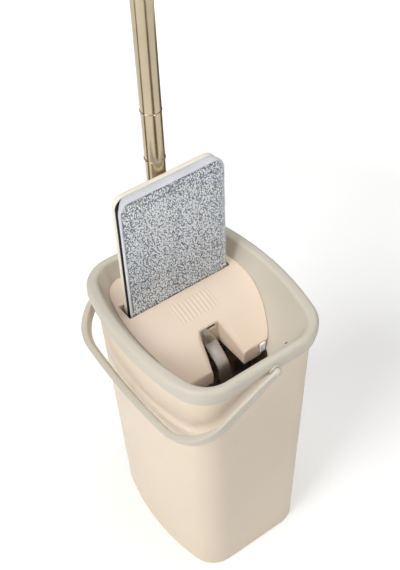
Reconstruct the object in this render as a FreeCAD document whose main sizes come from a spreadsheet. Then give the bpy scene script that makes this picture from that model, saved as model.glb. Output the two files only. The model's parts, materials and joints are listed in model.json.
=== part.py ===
import FreeCAD, Part
import math
import os
import Sketcher

# Hands-free flat mop standing in its squeeze bucket, in millimetres.
# Origin: centre of the bucket's flat bottom. +X runs along the wringer slot, -Y is the front
# (the wide opening beside the wringer), +Z is up. The flat mop stands upright in the slot.

doc = FreeCAD.newDocument("FlatMopBucket")
sheet = doc.addObject("Spreadsheet::Sheet", "Dims")

# ------------------------------------------------------------------ driving dimensions
DRIVING = {
    # bucket: rim size over everything, sides bowed out, walls leaning in towards the bottom
    "bucket_height": 370.0,
    "rim_width": 200.5,
    "rim_depth": 231.2,
    "side_bow": 20.0,
    "rim_corner": 44.0,
    "rim_inset": 7.0,
    "shell_wall": 2.5,
    "shell_floor": 3.0,
    "shell_lean": 0.024,
    "shell_corner": 34.0,
    # rim collar: rounded crest, outside skirt and a funnel wall leaning inwards
    "skirt_height": 20.0,
    "skirt_step": 1.6,
    "band_height": 11.5,
    "crest_band": 11.5,
    "crest_band_end": 8.7,
    "crest_round": 5.0,
    "funnel_lean": 0.48,
    "funnel_depth": 70.0,
    "funnel_wall": 2.5,
    "funnel_corner": 35.0,
    # wringer cover: level behind, rolling down to a lip in front, with a notch between two lobes
    "cover_drop": 19.5,
    "cover_wall": 2.5,
    "cover_level_y": 40.0,
    "lip_y": 50.0,
    "lip_drop": 59.0,
    "lip_height": 20.5,
    "notch_back_y": 14.5,
    "notch_back_half": 12.6,
    "notch_lip_half": 21.0,
    "tab_x": 45.6,
    "tab_half": 3.3,
    # slot: a wide part for the mop head and a channel for the pole behind it
    "slot_front_y": 36.7,
    "slot_deep": 22.8,
    "slot_half": 67.5,
    "channel_half": 36.0,
    "channel_back_y": 88.0,
    "slot_skirt": 24.0,
    "slot_rim": 2.2,
    # mop head, standing on end in the slot
    "pad_width": 128.0,
    "pad_length": 332.0,
    "pad_corner": 14.0,
    "pad_front_y": 37.0,
    "pile_thick": 7.0,
    "backing_thick": 2.2,
    "hook_thick": 3.5,
    "plate_thick": 6.5,
    "plate_width": 126.0,
    "plate_length": 330.0,
    "hinge_height": 341.5,
    "bracket_thick": 1.6,
    "ear_half": 14.2,
    "ear_thick": 4.0,
    # universal joint and pole
    "pole_y": 68.5,
    "pin_radius": 3.0,
    "running_gap": 0.05,
    "barrel_radius": 10.0,
    "tongue_half": 9.5,
    "tongue_thick": 12.6,
    "swing_rise": 22.5,
    "cheek_thick": 3.7,
    "socket_radius": 11.6,
    "socket_length": 56.0,
    "lower_radius": 10.2,
    "sleeve_radius": 10.5,
    "upper_radius": 10.7,
    "tube_wall": 0.8,
    "lower_ring_z": 518.0,
    "sleeve_length": 60.0,
    "bead_radius": 0.7,
    "second_sleeve_z": 980.0,
    "grip_start_z": 1385.0,
    "grip_length": 150.0,
    "grip_radius": 13.5,
    "cap_length": 34.0,
    "hang_radius": 5.0,
    # bail
    "bail_x": 10.0,
    "bail_drop": 16.0,
    "bail_arm": 124.7,
    "bail_half": 121.5,
    "bail_corner": 53.0,
    "bail_bow": 8.0,
    "strap_width": 13.0,
    "strap_thick": 4.0,
    "eye_radius": 6.5,
    "ear_radius": 7.5,
    "peg_radius": 4.0,
    "bail_tilt": 28.7,
    # scraper
    "axle_y": 24.0,
    "axle_z": 338.0,
    "axle_radius": 2.5,
    "scraper_half": 58.0,
    "leaf_width": 16.0,
    "leaf_thick": 0.8,
    "foot_drop": 48.0,
}

for row, (alias, number) in enumerate(DRIVING.items(), start=1):
    sheet.set(f"A{row}", alias)
    sheet.set(f"B{row}", str(number))
    sheet.setAlias(f"B{row}", alias)
doc.recompute()


class Size:
    """A length or angle: its number, and the sheet formula that gives the same number."""

    def __init__(self, number, formula):
        self.number = float(number)
        self.formula = formula

    def __add__(self, other):
        other = as_size(other)
        return Size(self.number + other.number, f"({self.formula} + {other.formula})")

    def __radd__(self, other):
        return as_size(other) + self

    def __sub__(self, other):
        other = as_size(other)
        return Size(self.number - other.number, f"({self.formula} - {other.formula})")

    def __rsub__(self, other):
        return as_size(other) - self

    def __mul__(self, other):
        other = as_size(other)
        return Size(self.number * other.number, f"({self.formula} * {other.formula})")

    def __rmul__(self, other):
        return as_size(other) * self

    def __truediv__(self, other):
        other = as_size(other)
        return Size(self.number / other.number, f"({self.formula} / {other.formula})")

    def __neg__(self):
        return Size(-self.number, f"(0 - {self.formula})")


def as_size(value):
    return value if isinstance(value, Size) else Size(value, f"({value})")


def dim(alias):
    return Size(DRIVING[alias], f"Dims.{alias}")


def bind(item, path, value):
    item.setExpression(path, as_size(value).formula)


def put(item, x=0, y=0, z=0):
    for letter, value in zip("xyz", (x, y, z)):
        bind(item, f"Placement.Base.{letter}", value)


# ------------------------------------------------------------------ sub-part bookkeeping
NODES = {}


def node(item, name):
    """Name an object as a finished sub-part."""
    item.Label = name
    NODES[name] = item
    return item


# ------------------------------------------------------------------ solids from primitives
def box(x, y, z):
    """A block between the low and high ends given for each axis."""
    item = doc.addObject("Part::Box", "Block")
    for prop, (low, high) in zip(("Length", "Width", "Height"), (x, y, z)):
        bind(item, prop, as_size(high) - low)
    put(item, x[0], y[0], z[0])
    return item


TURN = {
    "X": FreeCAD.Rotation(FreeCAD.Vector(0, 1, 0), 90),
    "Y": FreeCAD.Rotation(FreeCAD.Vector(1, 0, 0), -90),
    "Z": FreeCAD.Rotation(),
}


def rod(axis, radius, low, high, centre):
    """A cylinder along an axis from low to high; centre gives its other two coordinates in order."""
    item = doc.addObject("Part::Cylinder", "Rod")
    item.Placement = FreeCAD.Placement(FreeCAD.Vector(), TURN[axis])
    bind(item, "Radius", radius)
    bind(item, "Height", as_size(high) - low)
    spot = list(centre)
    spot.insert("XYZ".index(axis), low)
    put(item, *spot)
    return item


def fuse(*items):
    item = doc.addObject("Part::MultiFuse", "Joined")
    item.Shapes = list(items)
    return item


def cut(base, *tools):
    item = doc.addObject("Part::Cut", "Cut")
    item.Base = base
    item.Tool = tools[0] if len(tools) == 1 else fuse(*tools)
    return item


def common(first, second):
    item = doc.addObject("Part::Common", "Shared")
    item.Base = first
    item.Tool = second
    return item


def group(*items):
    """Several separate solids kept in one node."""
    item = doc.addObject("Part::Compound", "Group")
    item.Links = list(items)
    return item


# ------------------------------------------------------------------ PartDesign bodies
def new_body():
    return doc.addObject("PartDesign::Body", "Body")


def new_sketch(body, role, offset=0):
    """A sketch on one of the body's own origin planes, moved along that plane's normal."""
    sketch = body.newObject("Sketcher::SketchObject", "Sketch")
    plane = next(item for item in body.Origin.OriginFeatures if item.Role == role)
    sketch.AttachmentSupport = [(plane, "")]
    sketch.MapMode = "FlatFace"
    bind(sketch, "AttachmentOffset.Base.z", offset)
    return sketch


def fix_point(sketch, geometry, end, x, y):
    """Tie one end of an edge to its distances from the sketch origin."""
    for kind, value in (("DistanceX", x), ("DistanceY", y)):
        value = as_size(value)
        index = sketch.addConstraint(Sketcher.Constraint(kind, -1, 1, geometry, end, value.number))
        bind(sketch, f"Constraints[{index}]", value)


def vector(x, y):
    return FreeCAD.Vector(as_size(x).number, as_size(y).number, 0)


def closed_outline(sketch, points, arc_radius=None):
    """A closed outline through (x, y) points.

    arc_radius maps the number of an edge to the radius of the arc that replaces its straight line;
    the arc bulges to the right of the direction in which the outline runs.
    """
    arc_radius = arc_radius or {}
    count = len(points)
    for index, (start, end) in enumerate(zip(points, points[1:] + points[:1])):
        a, b = vector(*start), vector(*end)
        if index in arc_radius:
            radius = as_size(arc_radius[index]).number
            middle = (a + b) * 0.5
            along = (b - a).normalize()
            left = FreeCAD.Vector(-along.y, along.x, 0)
            reach = math.sqrt(radius ** 2 - (b - a).Length ** 2 / 4)
            centre = middle + left * reach
            start_angle = math.atan2(a.y - centre.y, a.x - centre.x)
            end_angle = math.atan2(b.y - centre.y, b.x - centre.x)
            circle = Part.Circle(centre, FreeCAD.Vector(0, 0, 1), radius)
            sketch.addGeometry(Part.ArcOfCircle(circle, start_angle, end_angle), False)
        else:
            sketch.addGeometry(Part.LineSegment(a, b), False)
    for index in range(count):
        sketch.addConstraint(Sketcher.Constraint("Coincident", index, 2, (index + 1) % count, 1))
    for index, (x, y) in enumerate(points):
        fix_point(sketch, index, 1, x, y)
    for index, radius in arc_radius.items():
        radius = as_size(radius)
        number = sketch.addConstraint(Sketcher.Constraint("Radius", index, radius.number))
        bind(sketch, f"Constraints[{number}]", radius)


def pad(body, sketch, length, both_ways=False, downwards=False, lean=0.0):
    """Pad a sketch; lean is the inward slope in degrees along the pad."""
    item = body.newObject("PartDesign::Pad", "Pad")
    item.Profile = sketch
    item.Midplane = both_ways
    item.Reversed = downwards
    item.TaperAngle = -lean
    bind(item, "Length", length)
    return item


def prism(role, points, length, offset=0, both_ways=False, arc_radius=None):
    """One body holding one padded outline."""
    body = new_body()
    sketch = new_sketch(body, role, offset)
    closed_outline(sketch, points, arc_radius)
    pad(body, sketch, length, both_ways)
    return body


def edges_across(shape, axis, low, high):
    """Numbers of the edges whose ends lie at low and at high along an axis."""
    numbers = []
    for number, edge in enumerate(shape.Edges, start=1):
        ends = sorted(vertex.Point[axis] for vertex in edge.Vertexes)
        if abs(ends[0] - low) < 0.01 and abs(ends[-1] - high) < 0.01:
            numbers.append(number)
    return numbers


def round_corners(body, axis, low, high, radius, wanted=lambda edge: True):
    """Fillet the edges of a padded body that run along its pad from low to high."""
    doc.recompute()
    padded = body.Tip
    numbers = edges_across(padded.Shape, axis, as_size(low).number, as_size(high).number)
    names = [f"Edge{number}" for number in numbers if wanted(padded.Shape.Edges[number - 1])]
    rounding = body.newObject("PartDesign::Fillet", "Corners")
    rounding.Base = (padded, names)
    bind(rounding, "Radius", radius)
    return body


def tub(low, high, half_x, half_y, corner, lean):
    """A bowed, round-cornered block that narrows downwards: the bucket's plan between two heights.

    half_x and half_y are measured at the high end, half_x at the middle of the bowed side.
    """
    low, high, half_x, half_y = (as_size(value) for value in (low, high, half_x, half_y))
    bow = dim("side_bow")
    body = new_body()
    sketch = new_sketch(body, "XY_Plane", high)
    shoulder = half_x - bow
    side_radius = (half_y * half_y + bow * bow) / (2 * bow)
    points = [(-shoulder, -half_y), (shoulder, -half_y), (shoulder, half_y), (-shoulder, half_y)]
    closed_outline(sketch, points, {1: side_radius, 3: side_radius})
    pad(body, sketch, high - low, downwards=True, lean=math.degrees(math.atan(lean)))
    return round_corners(body, 2, low, high, corner)


# ------------------------------------------------------------------ places used by several parts
crest = dim("bucket_height")
half_width = dim("rim_width") / 2
half_depth = dim("rim_depth") / 2
cover_top = crest - dim("cover_drop")
lip_top = crest - dim("lip_drop")
skirt_bottom = crest - dim("skirt_height")
funnel_low = crest - dim("funnel_depth")
tab_low = lip_top - 9
tab_high = lip_top - 2.5
slot_back = dim("slot_front_y") + dim("slot_deep")
cover_back = dim("channel_back_y") + 8
seat_top = crest - dim("band_height") - 0.1
rail_front = dim("slot_front_y") - 3.7
pile_back = dim("pad_front_y") + dim("pile_thick")
backing_back = pile_back + dim("backing_thick")
hook_back = backing_back + dim("hook_thick")
plate_back = hook_back + dim("plate_thick")
bracket_back = plate_back + dim("bracket_thick")
hinge_z = dim("hinge_height")
swing_z = hinge_z + dim("swing_rise")
pole_y = dim("pole_y")
pin_hole = dim("pin_radius") + dim("running_gap")
roll_run = dim("cover_level_y") + dim("lip_y")
roll_fall = cover_top - lip_top
roll_radius = (roll_run * roll_run + roll_fall * roll_fall) / (2 * roll_fall)


def shell_half(half, height):
    """Half width or depth of the bucket's outside at a height."""
    return half - dim("rim_inset") - dim("shell_lean") * (crest - height)


# ------------------------------------------------------------------ bucket
def make_bucket_shell():
    """Tapered open bucket with a flat bottom; its top edge stands inside the collar."""
    top = seat_top - 0.4
    wall = dim("shell_wall")
    corner = dim("shell_corner")
    lean = DRIVING["shell_lean"]
    outside = tub(0, top, shell_half(half_width, top), shell_half(half_depth, top), corner, lean)
    inside = tub(dim("shell_floor"), crest, shell_half(half_width, crest) - wall,
                 shell_half(half_depth, crest) - wall, corner - wall, lean)
    return node(cut(outside, inside), "bucket_shell")


def funnel_block(low, grow):
    """The space inside the funnel wall down to a height, made larger all round by grow."""
    inner_x = half_width - dim("crest_band") + grow
    inner_y = half_depth - dim("crest_band_end") + grow
    return tub(low, crest, inner_x, inner_y, dim("funnel_corner") + grow, DRIVING["funnel_lean"])


def seat_block(low, high, grow):
    """The bucket's outside between two heights, made larger all round by grow."""
    return tub(low, high, shell_half(half_width, high) + grow, shell_half(half_depth, high) + grow,
               dim("shell_corner") + grow, DRIVING["shell_lean"])


def make_rim_collar():
    """Collar over the bucket's edge: crest, skirt, funnel wall, and an ear at each bail pivot."""
    gap = as_size(0.3)
    step = dim("skirt_step")
    band_low = crest - dim("band_height")
    band = tub(band_low, crest, half_width, half_depth, dim("rim_corner"), 0)
    skirt = tub(skirt_bottom, band_low, half_width - step, half_depth - step,
                dim("rim_corner") - step, 0)
    funnel_out = funnel_block(funnel_low, dim("funnel_wall"))
    funnel_in = funnel_block(funnel_low, 0)
    groove = cut(seat_block(skirt_bottom, seat_top, gap),
                 seat_block(skirt_bottom, seat_top, -gap - dim("shell_wall")))
    pivot = (dim("bail_x"), crest - dim("bail_drop"))
    ears = []
    for side in (-1, 1):
        ends = sorted((side * (half_depth.number - 6.5), side * (half_depth.number + 1.5)))
        ears.append(rod("Y", dim("ear_radius"), ends[0], ends[1], pivot))
    holes = rod("Y", dim("peg_radius") + dim("running_gap"), -140, 140, pivot)
    passage_half = dim("slot_half") + 5.5
    passage = box((-passage_half, passage_half), (dim("axle_y") - 19, cover_back),
                  (funnel_low - 2, crest - 22))
    body = cut(fuse(band, skirt, funnel_out), funnel_in, groove, passage)
    doc.recompute()
    rounding = doc.addObject("Part::Fillet", "Crest")
    rounding.Base = body
    radius = DRIVING["crest_round"]
    rounding.Edges = [(number, radius, radius)
                      for number in edges_across(body.Shape, 2, crest.number, crest.number)]
    ears_outside = cut(fuse(*ears), seat_block(200, seat_top, gap))
    return node(cut(fuse(rounding, ears_outside), holes), "rim_collar")


def cover_profile(inset, front_low, back_low):
    """Side outline of the cover in the YZ plane, inset from its outer face, down to two heights."""
    back_y = cover_back - inset
    level = dim("cover_level_y")
    top = cover_top - inset
    radius = roll_radius - inset
    front_y = -(dim("lip_y") - inset)
    run = level + dim("lip_y") - inset
    reach = math.sqrt(radius.number ** 2 - run.number ** 2)
    fall = Size(radius.number - reach,
                f"({radius.formula} - sqrt({radius.formula}^2 - {run.formula}^2))")
    front_z = top - fall
    points = [(front_y, front_low), (rail_front - 1, back_low), (back_y, back_low), (back_y, top),
              (level, top), (front_y, front_z)]
    return points, {4: radius}


def make_wringer_cover():
    """Hollow moulded cover: curved top, front lip, notch between two lobes, skirts and T-slot.

    Two lugs under it carry the scraper's axle.
    """
    wall = dim("cover_wall")
    fit = 0.3
    low = funnel_low - 40
    funnel = funnel_block(low, -fit)
    hollow_plan = funnel_block(low, -fit - wall)
    slot_low = cover_top - dim("slot_skirt")
    outline, arcs = cover_profile(0, lip_top - dim("lip_height"), slot_low)
    block = prism("YZ_Plane", outline, 190, both_ways=True, arc_radius=arcs)
    hollow_outline, hollow_arcs = cover_profile(wall, low, low)
    hollow = prism("YZ_Plane", hollow_outline, 190, both_ways=True, arc_radius=hollow_arcs)

    flare = (dim("notch_lip_half") - dim("notch_back_half")) / (dim("lip_y") - dim("notch_back_y"))

    def notch(grow):
        back = -(dim("notch_back_y") - grow)
        front = -(dim("lip_y") + 20)
        back_half = dim("notch_back_half") + grow
        front_half = dim("notch_back_half") + flare * (dim("lip_y") + 20 - dim("notch_back_y")) + grow
        return prism("XY_Plane", [(-front_half, front), (front_half, front), (back_half, back),
                                  (-back_half, back)], 200, offset=crest - 150)

    def slot(grow, low, high):
        half = dim("slot_half") + grow
        wide = box((-half, half), (dim("slot_front_y") - grow, slot_back + grow), (low, high))
        channel_half = dim("channel_half") + grow
        channel = box((-channel_half, channel_half), (slot_back - 1, dim("channel_back_y") + grow),
                      (low, high))
        return fuse(wide, channel)

    skirts = slot(dim("slot_rim"), slot_low, cover_top - 1)
    leaf_half = dim("leaf_width") / 2 + 0.7
    window = box((-leaf_half, leaf_half), (-16, -10), (crest - 38.5, crest - 33.7))
    tab_window = box((dim("tab_x") - 4, dim("tab_x") + 4), (-55, -45), (tab_low, tab_high))
    cavity = cut(common(hollow, hollow_plan), notch(wall), skirts)
    solid = cut(common(block, funnel), cavity, notch(0), slot(0, slot_low - 60, crest), window,
                tab_window)

    axle = (dim("axle_y"), dim("axle_z"))
    half = dim("scraper_half")
    lugs = [box(ends, (axle[0] - 6, axle[0] + 6), (axle[1] - 6, cover_top - wall - 0.5))
            for ends in ((-half - 8, -half - 1), (half + 1, half + 8))]
    axle_hole = rod("X", dim("axle_radius") + dim("running_gap"), -66, 66, axle)
    return node(cut(fuse(solid, *lugs), axle_hole), "wringer_cover")


def make_latch_tab():
    """White snap tab in its window in the front face of the right lobe."""
    front = -dim("lip_y")
    back = front + dim("cover_wall")
    middle = dim("tab_x")
    half = dim("tab_half")
    face = box((middle - half, middle + half), (front - 2.2, front - 0.05),
               (lip_top - 13, lip_top - 0.5))
    stem = box((middle - half, middle + half), (front - 0.1, back + 0.1), (tab_low + 1, tab_high - 1.5))
    catch = box((middle - half - 1, middle + 1), (back + 0.05, back + 1.5), (tab_low - 2, tab_low + 4))
    node(fuse(face, stem, catch), "latch_tab")


def make_guides():
    """Two channel rails, from the bucket's floor to under the cover, that keep the mop upright."""
    floor = dim("shell_floor")
    web = dim("slot_half") + 0.3
    outer = web + 2.5
    front, back = rail_front, slot_back + 4
    inner_front, inner_back = front + 2.5, back - 2.5
    flange = dim("slot_half") - 9.5
    top = cover_top - dim("slot_skirt") - 0.3
    for name, side in (("guide_rail_right", 1), ("guide_rail_left", -1)):
        points = [(side * flange, front), (side * outer, front), (side * outer, back),
                  (side * flange, back), (side * flange, inner_back), (side * web, inner_back),
                  (side * web, inner_front), (side * flange, inner_front)]
        node(prism("XY_Plane", points[::side], top - floor, offset=floor), name)
    brace = box((-flange + 0.2, flange - 0.2), (inner_back - 0.8, back), (36, 60))
    node(brace, "rail_brace")


def make_scrub_board():
    """Ribbed board low in the bucket that the mop's pile rubs against."""
    half = dim("slot_half") - 9.7
    back = dim("slot_front_y") - 1.9
    body = new_body()
    sketch = new_sketch(body, "XY_Plane", 70)
    closed_outline(sketch, [(-half, back - 5), (half, back - 5), (half, back), (-half, back)])
    pad(body, sketch, 112)
    ribs_sketch = new_sketch(body, "YZ_Plane", 0)
    circle = Part.Circle(FreeCAD.Vector(back.number, 80, 0), FreeCAD.Vector(0, 0, 1), 1.4)
    ribs_sketch.addGeometry(circle, False)
    fix_point(ribs_sketch, 0, 3, back, 80)
    ribs_sketch.addConstraint(Sketcher.Constraint("Radius", 0, 1.4))
    rib = pad(body, ribs_sketch, 2 * half - 12, both_ways=True)
    doc.recompute()
    rows = body.newObject("PartDesign::LinearPattern", "RibRows")
    rows.Originals = [rib]
    axis = next(item for item in body.Origin.OriginFeatures if item.Role == "Z_Axis")
    rows.Direction = (axis, [""])
    rows.Length = 90
    rows.Occurrences = 10
    body.Tip = rows
    return node(body, "scrub_board")


# ------------------------------------------------------------------ scraper
def make_scraper():
    """Hinged press plate with its rubber blade and its axle."""
    axle = (dim("axle_y"), dim("axle_z"))
    half = dim("scraper_half")
    plate = box((-half, half), (axle[0] + 2, axle[0] + 8), (axle[1] - 42, axle[1] + 3))
    barrel = rod("X", 5.5, -half, half, axle)
    node(cut(fuse(plate, barrel), rod("X", dim("axle_radius"), -80, 80, axle)), "press_plate")
    blade = box((-half, half), (axle[0] + 8, dim("pad_front_y") - 0.3), (axle[1] - 38, axle[1] - 27))
    node(blade, "scraper_blade")
    node(rod("X", dim("axle_radius"), -half - 7.5, half + 7.5, axle), "press_axle")


def ribbon(path, thick, width, placement):
    """A thin strip: a path in the YZ plane given half its thickness each side, extruded along X."""
    left, right = [], []
    for index, (y, z) in enumerate(path):
        before = path[max(index - 1, 0)]
        after = path[min(index + 1, len(path) - 1)]
        along = math.hypot(after[0] - before[0], after[1] - before[1])
        normal = (-(after[1] - before[1]) / along, (after[0] - before[0]) / along)
        left.append(FreeCAD.Vector(-width / 2, y + normal[0] * thick / 2, z + normal[1] * thick / 2))
        right.append(FreeCAD.Vector(-width / 2, y - normal[0] * thick / 2, z - normal[1] * thick / 2))
    outline = left + right[::-1]
    face = Part.Face(Part.makePolygon(outline + outline[:1]))
    item = doc.addObject("Part::Feature", "Strip")
    item.Shape = face.extrude(FreeCAD.Vector(width, 0, 0))
    item.Placement = placement
    return item


def make_leaf_spring():
    """Stainless leaf from the foot bar, up through the notch, to the back of the press plate."""
    plate_face = DRIVING["axle_y"] + 1.4
    lip = DRIVING["bucket_height"] - DRIVING["lip_drop"]
    path = [(-44, lip - 55), (-44, lip - 32), (-42.8, lip - 21), (-39.5, lip - 13), (-30, lip - 5),
            (-18.3, lip + 4), (-17.6, lip + 21), (-16, lip + 23.2), (-12, lip + 23.6),
            (-4, lip + 24), (6, lip + 22.5), (14, lip + 18), (20, lip + 10), (plate_face, lip - 2)]
    leaf = ribbon(path, DRIVING["leaf_thick"], DRIVING["leaf_width"], FreeCAD.Placement())
    node(leaf, "leaf_spring")
    foot_z = lip_top - dim("foot_drop")
    bar = box((-31, 31), (-43.5, -38), (foot_z - 8, foot_z + 8))
    posts = [box((x - 3, x + 3), (-47.4, -38), (foot_z - 8, lip_top - 14)) for x in (-30, 30)]
    holes = [rod("Y", 1.5, -50, -30, (x, foot_z)) for x in (-3.2, 3.2)]
    node(cut(fuse(bar, *posts), *holes), "spring_bar")
    heads = [rod("Y", 2.6, -46.2, -44.4, (x, foot_z)) for x in (-3.2, 3.2)]
    node(group(*heads), "spring_screws")


# ------------------------------------------------------------------ bail
def make_bail():
    """Strap bail, drawn flat and then tilted down about its pivot; the arm runs along local -X."""
    half = dim("bail_half")
    thick = dim("strap_thick")
    arm = dim("bail_arm")

    def loop(grow, corner):
        """A round-cornered loop whose far side is bowed outwards."""
        side = half - grow
        bow = dim("bail_bow")
        far = -(arm - grow)
        far_radius = (side * side + bow * bow) / (2 * bow)
        body = new_body()
        sketch = new_sketch(body, "XY_Plane", -dim("strap_width") / 2)
        near = 0 if as_size(grow).number == 0 else 30
        closed_outline(sketch, [(far, side), (far, -side), (near, -side), (near, side)], {0: far_radius})
        pad(body, sketch, dim("strap_width"))
        return round_corners(body, 2, -dim("strap_width") / 2, dim("strap_width") / 2, corner,
                             wanted=lambda edge: edge.Vertexes[0].X < far.number / 2)

    outer = loop(0, dim("bail_corner"))
    inner = loop(thick, dim("bail_corner") - thick)
    eyes = []
    for low in (-half, half - thick):
        eyes.append(rod("Y", dim("eye_radius"), low, low + thick, (0, 0)))
    peg_hole = rod("Y", dim("peg_radius"), -half - 5, half + 5, (0, 0))
    strap = cut(fuse(cut(outer, inner), *eyes), peg_hole)
    turn = FreeCAD.Rotation(FreeCAD.Vector(0, 1, 0), -DRIVING["bail_tilt"])
    strap.Placement = FreeCAD.Placement(FreeCAD.Vector(), turn)
    put(strap, dim("bail_x"), 0, crest - dim("bail_drop"))
    node(strap, "bail_handle")

    spot = (dim("bail_x"), crest - dim("bail_drop"))
    for name, side in (("bail_peg_front", -1), ("bail_peg_back", 1)):
        reach = sorted((side * (half_depth.number - 5.5), side * (DRIVING["bail_half"] + 1.2)))
        node(rod("Y", dim("peg_radius"), reach[0], reach[1], spot), name)


# ------------------------------------------------------------------ mop head
def slab(name, half_x, half_z, front, back, corner):
    """A round-cornered slab standing on end, centred on the head hinge."""
    body = new_body()
    sketch = new_sketch(body, "XZ_Plane", -as_size(back))
    low, high = hinge_z - half_z, hinge_z + half_z
    closed_outline(sketch, [(-half_x, low), (half_x, low), (half_x, high), (-half_x, high)])
    pad(body, sketch, as_size(back) - front)
    round_corners(body, 1, front, back, corner)
    return node(body, name) if name else body


def make_mop_head():
    """Pad on its backing, the black hook layer, the plate, and the bracket that holds the hinge."""
    half_x, half_z = dim("pad_width") / 2, dim("pad_length") / 2
    corner = dim("pad_corner")
    slab("mop_pad", half_x - 1.5, half_z - 1.5, dim("pad_front_y"), pile_back, corner - 1.5)
    slab("pad_backing", half_x, half_z, pile_back, backing_back, corner)
    slab("hook_layer", half_x - 3, half_z - 3, backing_back, hook_back, corner - 3)
    plate = slab("", dim("plate_width") / 2, dim("plate_length") / 2, hook_back, plate_back,
                 corner - 1)
    spots = [(x, hinge_z + rise) for x in (-20, 20) for rise in (-17, 17)]
    pilots = [rod("Y", 1.7, hook_back + 1, plate_back + 1, spot) for spot in spots]
    node(cut(plate, *pilots), "mop_plate")

    base = box((-25, 25), (plate_back, bracket_back), (hinge_z - 22, hinge_z + 22))
    pieces = [base]
    low, high = dim("ear_half"), dim("ear_half") + dim("ear_thick")
    for start, end in ((low, high), (-high, -low)):
        pieces.append(box((start, end), (bracket_back - 0.5, pole_y), (hinge_z - 8, hinge_z + 8)))
        pieces.append(rod("X", 8, start, end, (pole_y, hinge_z)))
    holes = [rod("X", dim("pin_radius"), -30, 30, (pole_y, hinge_z))]
    holes += [rod("Y", 1.9, plate_back - 1, bracket_back + 1, spot) for spot in spots]
    node(cut(fuse(*pieces), *holes), "hinge_bracket")

    screws = []
    for spot in spots:
        head = rod("Y", 3.2, bracket_back, bracket_back + 1.6, spot)
        shank = rod("Y", 1.6, hook_back + 1.2, bracket_back + 0.2, spot)
        screws.append(fuse(head, shank))
    node(group(*screws), "bracket_screws")
    node(rod("X", dim("pin_radius"), -high - 1.2, high + 1.2, (pole_y, hinge_z)), "head_pin")


# ------------------------------------------------------------------ universal joint and pole
def make_yoke():
    """Cross-piece: a barrel on the head pin and a tongue that takes the pole's fork."""
    barrel_half = dim("ear_half") - 0.35
    barrel = rod("X", dim("barrel_radius"), -barrel_half, barrel_half, (pole_y, hinge_z))
    half = dim("tongue_half")
    y_low, y_high = pole_y - dim("tongue_thick") / 2, pole_y + dim("tongue_thick") / 2
    tongue = box((-half, half), (y_low, y_high), (hinge_z, swing_z))
    crown = rod("Y", half, y_low, y_high, (0, swing_z))
    holes = [rod("X", pin_hole, -30, 30, (pole_y, hinge_z)),
             rod("Y", pin_hole, pole_y - 20, pole_y + 20, (0, swing_z))]
    return node(cut(fuse(barrel, tongue, crown), *holes), "swivel_yoke")


def ring_tube(outer, inner, low, high):
    return cut(rod("Z", outer, low, high, (0, pole_y)), rod("Z", inner, low, high, (0, pole_y)))


def bead(radius, height):
    """A rolled ring standing out of a tube."""
    item = doc.addObject("Part::Torus", "Bead")
    bind(item, "Radius1", radius)
    bind(item, "Radius2", dim("bead_radius"))
    put(item, 0, pole_y, height)
    return item


def make_pole():
    """Fork socket, three tubes joined by two beaded sleeves, grip and hanging cap."""
    half = dim("tongue_half")
    cheek_in = dim("tongue_thick") / 2 + 0.2
    cheek_out = cheek_in + dim("cheek_thick")
    socket_floor = swing_z + half + 2.5
    socket_top = socket_floor + dim("socket_length")
    cheeks = []
    for low, high in ((pole_y - cheek_out, pole_y - cheek_in), (pole_y + cheek_in, pole_y + cheek_out)):
        cheeks.append(box((-half, half), (low, high), (swing_z, socket_floor + 3)))
        cheeks.append(rod("Y", half, low, high, (0, swing_z)))
    cup = rod("Z", dim("socket_radius"), socket_floor, socket_top, (0, pole_y))
    tube_floor = socket_floor + 8
    bore = rod("Z", dim("lower_radius"), tube_floor, socket_top, (0, pole_y))
    pin_bore = rod("Y", dim("pin_radius"), pole_y - 20, pole_y + 20, (0, swing_z))
    node(cut(fuse(cup, *cheeks), bore, pin_bore), "pole_socket")
    node(rod("Y", dim("pin_radius"), pole_y - cheek_out - 0.2, pole_y + cheek_out + 1, (0, swing_z)),
         "swing_pin")

    wall = dim("tube_wall")
    sleeve = dim("sleeve_length")
    first, second = dim("lower_ring_z"), dim("second_sleeve_z")
    grip_low, grip_high = dim("grip_start_z"), dim("grip_start_z") + dim("grip_length")
    lower, middle, upper = dim("lower_radius"), dim("sleeve_radius"), dim("upper_radius")
    node(ring_tube(lower, lower - wall, tube_floor, first), "lower_tube")
    node(ring_tube(upper, upper - wall, first + sleeve, second), "middle_tube")
    node(ring_tube(upper, upper - wall, second + sleeve, grip_high - 4), "upper_tube")
    for name, plug_name, low in (("lower_sleeve", "lower_plug", first),
                                 ("upper_sleeve", "upper_plug", second)):
        tube = ring_tube(middle, lower - wall, low, low + sleeve)
        rings = fuse(bead(middle, low + 1), bead(middle, low + sleeve - 1))
        bore = rod("Z", lower - wall, low - 2, low + sleeve + 2, (0, pole_y))
        trim = box((-20, 20), (pole_y - 20, pole_y + 20), (low, low + sleeve))
        node(common(fuse(tube, cut(rings, bore)), trim), name)
        node(rod("Z", lower - wall, low - 25, low + sleeve + 25, (0, pole_y)), plug_name)

    grip = ring_tube(dim("grip_radius"), upper, grip_low, grip_high)
    grooves = [bead(dim("grip_radius") + 0.2, grip_low + 15 + 12 * step) for step in range(11)]
    node(cut(grip, *grooves), "grip")
    cap_top = grip_high + dim("cap_length")
    dome = rod("Z", dim("grip_radius"), grip_high, grip_high + 6, (0, pole_y))
    eye_z = cap_top - 12
    eye = rod("Y", 12, pole_y - 4, pole_y + 4, (0, eye_z))
    stem = box((-12, 12), (pole_y - 4, pole_y + 4), (grip_high + 5, eye_z))
    hole = rod("Y", dim("hang_radius"), pole_y - 10, pole_y + 10, (0, eye_z))
    node(cut(fuse(dome, eye, stem), hole), "hanging_cap")


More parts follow.
